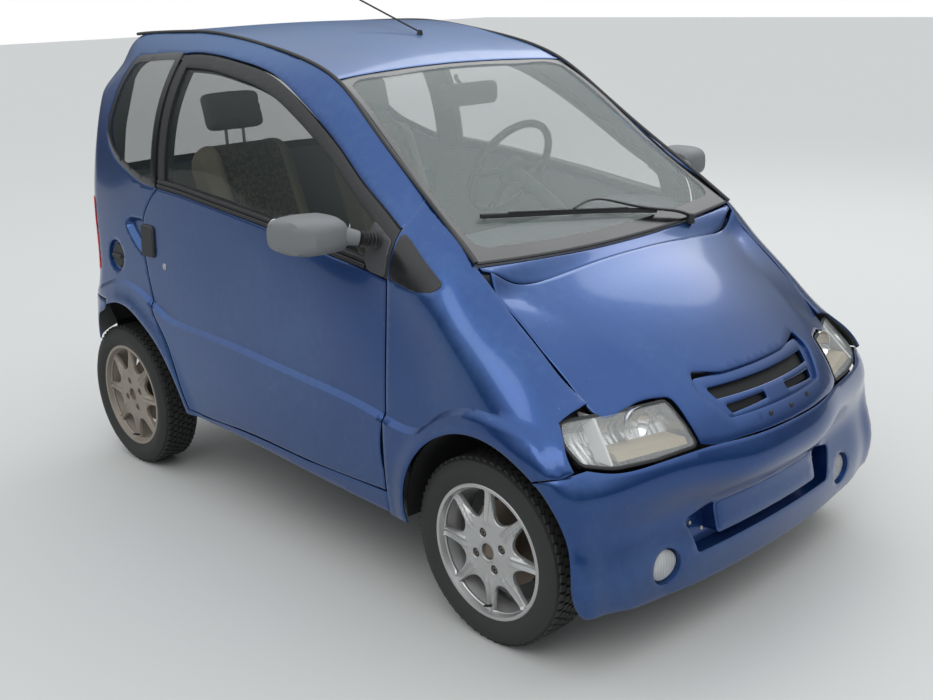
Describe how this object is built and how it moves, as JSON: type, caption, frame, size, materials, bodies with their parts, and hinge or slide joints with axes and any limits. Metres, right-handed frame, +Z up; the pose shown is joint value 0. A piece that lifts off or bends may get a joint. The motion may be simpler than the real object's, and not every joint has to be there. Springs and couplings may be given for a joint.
{
  "type": "small two-seat city car",
  "caption": "Very short city car with a rounded wedge body, steeply raked windscreen and bonnet in one line, side doors, a top-hinged tailgate and spoked alloy wheels, for short trips in town.",
  "frame": {"origin": "on the floor, in the middle of the length and width", "axes": "+X to the nose, +Y to the car's left, +Z up"},
  "size_m": [2.6398, 1.736, 1.5973],
  "materials": {
    "paint": "worn metallic mid-blue",
    "clear_glass": "clear",
    "tyre_rubber": "matt",
    "alloy": "satin silver lacquer",
    "iron": "dull",
    "chassis_paint": "black, satin",
    "black_plastic": "matt grained",
    "dash_plastic": "matt grained",
    "grey_plastic": "weathered matt grey",
    "lamp_silver": "bright lamp reflector",
    "red_lens": "clear red lens",
    "cloth": "woven, worn"
  },
  "bodies": {
    "body": {"roof_panel": "paint", "windscreen": "clear_glass", "scuttle": "paint", "side_frame_left": "paint", "side_frame_right": "paint", "fuel_cap": "black_plastic", "tail_lamps": "red_lens", "fixed_side_windows": "clear_glass", "fenders": "paint", "bumper_front": "paint", "bumper_rear": "paint", "headlamps": "clear_glass", "headlamp_bowls": "lamp_silver", "fog_lamps": "clear_glass", "chassis": "chassis_paint", "floor_pan": "black_plastic", "front_arms": "chassis_paint", "rear_axle": "chassis_paint", "engine_block": "iron", "arch_liners": "black_plastic", "dashboard": "dash_plastic", "steering_column": "black_plastic", "seats": "cloth", "cabin_mirror": "black_plastic", "wiper": "black_plastic", "drive_shafts": "iron", "exhaust": "iron", "antenna": "black_plastic"},
    "bonnet_lid": {"bonnet": "paint"},
    "tailgate": {"hatch": "paint", "hatch_window": "clear_glass"},
    "left_door": {"door_left": "paint", "door_handle_left": "black_plastic", "door_glass_left": "clear_glass", "door_mirror_left": "grey_plastic"},
    "right_door": {"door_right": "paint", "door_handle_right": "black_plastic", "door_glass_right": "clear_glass", "door_mirror_right": "grey_plastic"},
    "left_knuckle": {"knuckle_left": "iron"},
    "right_knuckle": {"knuckle_right": "iron"},
    "front_left_wheel": {"tyre_front_left": "tyre_rubber", "rim_front_left": "alloy", "hub_front_left": "iron"},
    "front_right_wheel": {"tyre_front_right": "tyre_rubber", "rim_front_right": "alloy", "hub_front_right": "iron"},
    "rear_left_wheel": {"tyre_rear_left": "tyre_rubber", "rim_rear_left": "alloy", "hub_rear_left": "iron"},
    "rear_right_wheel": {"tyre_rear_right": "tyre_rubber", "rim_rear_right": "alloy", "hub_rear_right": "iron"},
    "steering": {"steering_wheel": "black_plastic"}
  },
  "joints": [
    {"name": "right_door_swing", "type": "hinge", "parent": "body", "child": "right_door", "pos_m": [0.493, -0.703, 0.45], "axis": [0, 0, 1], "range_deg": [0, 65]},
    {"name": "left_door_swing", "type": "hinge", "parent": "body", "child": "left_door", "pos_m": [0.493, 0.703, 0.45], "axis": [0, 0, -1], "range_deg": [0, 65]},
    {"name": "bonnet_lift", "type": "hinge", "parent": "body", "child": "bonnet_lid", "pos_m": [0.735, 0, 0.936], "axis": [0, -1, 0], "range_deg": [0, 50]},
    {"name": "hatch_lift", "type": "hinge", "parent": "body", "child": "tailgate", "pos_m": [-1.044, 0, 1.522], "axis": [0, 1, 0], "range_deg": [0, 75]},
    {"name": "steer_left", "type": "hinge", "parent": "body", "child": "left_knuckle", "pos_m": [0.84, 0.556, 0.17], "axis": [0, -0.1746, 0.9846], "range_deg": [-28, 28]},
    {"name": "steer_right", "type": "hinge", "parent": "body", "child": "right_knuckle", "pos_m": [0.84, -0.556, 0.17], "axis": [0, 0.1746, 0.9846], "range_deg": [-28, 28]},
    {"name": "steering_wheel_turn", "type": "hinge", "parent": "body", "child": "steering", "pos_m": [0.007, 0.3, 1.04], "axis": [-0.8821, 0, 0.4711], "range_deg": [-532, 532]},
    {"name": "spin_front_left", "type": "hinge", "parent": "left_knuckle", "child": "front_left_wheel", "pos_m": [0.84, 0.61, 0.254], "axis": [0, 1, 0], "continuous": true},
    {"name": "spin_front_right", "type": "hinge", "parent": "right_knuckle", "child": "front_right_wheel", "pos_m": [0.84, -0.61, 0.254], "axis": [0, 1, 0], "continuous": true},
    {"name": "spin_rear_left", "type": "hinge", "parent": "body", "child": "rear_left_wheel", "pos_m": [-0.975, 0.61, 0.254], "axis": [0, 1, 0], "continuous": true},
    {"name": "spin_rear_right", "type": "hinge", "parent": "body", "child": "rear_right_wheel", "pos_m": [-0.975, -0.61, 0.254], "axis": [0, 1, 0], "continuous": true}
  ],
  "couplings": [
    {"joint": "steer_right", "follows": "steer_left", "ratio": 1},
    {"joint": "steering_wheel_turn", "follows": "steer_left", "ratio": 19}
  ]
}
